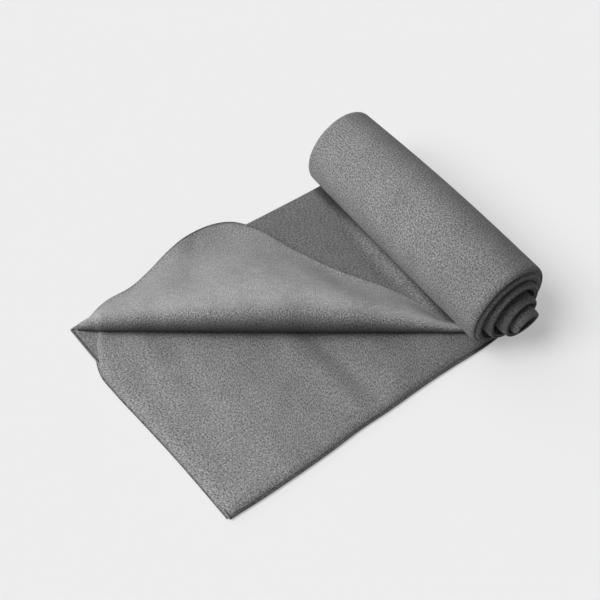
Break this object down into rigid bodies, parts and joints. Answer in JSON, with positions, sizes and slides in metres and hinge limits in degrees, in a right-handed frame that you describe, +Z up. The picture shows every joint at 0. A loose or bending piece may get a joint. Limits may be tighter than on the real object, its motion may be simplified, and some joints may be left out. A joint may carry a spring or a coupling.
{
  "type": "quick dry towel",
  "caption": "Grey microfibre cloth folded lengthwise into a four-layer strip and rolled from one end, with the top layer's free corner turned back over a soft diagonal fold.",
  "frame": {"origin": "middle of the flat strip's underside, on the surface that the towel lies on", "axes": "+X along the strip from its free end to the roll, +Y across the strip to its far edge, +Z up"},
  "size_m": [0.2158, 0.1694, 0.052],
  "materials": {
    "microfibre": "matte, short napped"
  },
  "bodies": {
    "towel": {"bottom_layer": "microfibre", "third_layer": "microfibre", "second_layer": "microfibre", "top_layer": "microfibre", "near_fold": "microfibre", "far_fold_inner": "microfibre", "far_fold_outer": "microfibre", "roll_turn_1": "microfibre", "roll_turn_2": "microfibre", "roll_turn_3": "microfibre", "roll_turn_4": "microfibre", "roll_turn_5": "microfibre"},
    "flap": {"corner_fold": "microfibre", "corner_flap": "microfibre"}
  },
  "joints": [
    {"name": "corner_fold_hinge", "type": "hinge", "parent": "towel", "child": "flap", "pos_m": [-0.01787, 0.01104, 0.0137], "axis": [0.7751, -0.6319, 0], "range_deg": [0, 170], "deforming": ["corner_fold"]}
  ]
}
